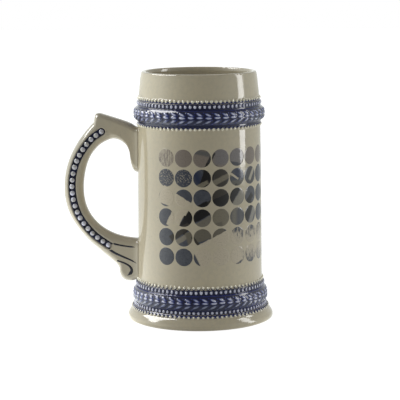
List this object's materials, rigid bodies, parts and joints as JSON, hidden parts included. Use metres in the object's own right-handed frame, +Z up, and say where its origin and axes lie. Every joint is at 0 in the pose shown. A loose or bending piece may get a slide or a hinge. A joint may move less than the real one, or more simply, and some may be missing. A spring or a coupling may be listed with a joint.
{
  "type": "beer stein",
  "caption": "Lidless glazed stoneware stein with two cobalt relief bands, bead rows, a pearled scroll handle with thumb spur, and a wrap-around print of round dots.",
  "frame": {"origin": "centre of the foot's resting plane, on the vessel's axis", "axes": "+Z up along the vessel's axis; the handle stands out along -X; the middle of the print faces +X"},
  "size_m": [0.1427, 0.1, 0.17],
  "materials": {
    "stoneware_glaze": "gloss",
    "handle_glaze": "gloss",
    "cobalt_glaze": "gloss",
    "relief_glaze": "gloss",
    "cream_bead_glaze": "gloss",
    "dot_print": "gloss"
  },
  "bodies": {
    "root": {"vessel_body": "stoneware_glaze", "handle": "handle_glaze", "upper_band": "cobalt_glaze", "upper_band_leaves": "relief_glaze", "lower_band": "cobalt_glaze", "lower_band_leaves": "relief_glaze", "upper_beads_rim_side": "cream_bead_glaze", "upper_beads_on_cobalt": "relief_glaze", "upper_beads_wall_side": "cream_bead_glaze", "lower_beads_wall_side": "cream_bead_glaze", "lower_beads_on_cobalt": "relief_glaze", "lower_beads_in_groove": "relief_glaze", "lower_beads_foot_side": "cream_bead_glaze", "handle_channel_front": "cobalt_glaze", "handle_channel_back": "cobalt_glaze", "handle_pearls_front": "relief_glaze", "handle_pearls_back": "relief_glaze", "handle_lines_front": "cobalt_glaze", "handle_lines_back": "cobalt_glaze", "print_dots": "dot_print"}
  },
  "joints": []
}
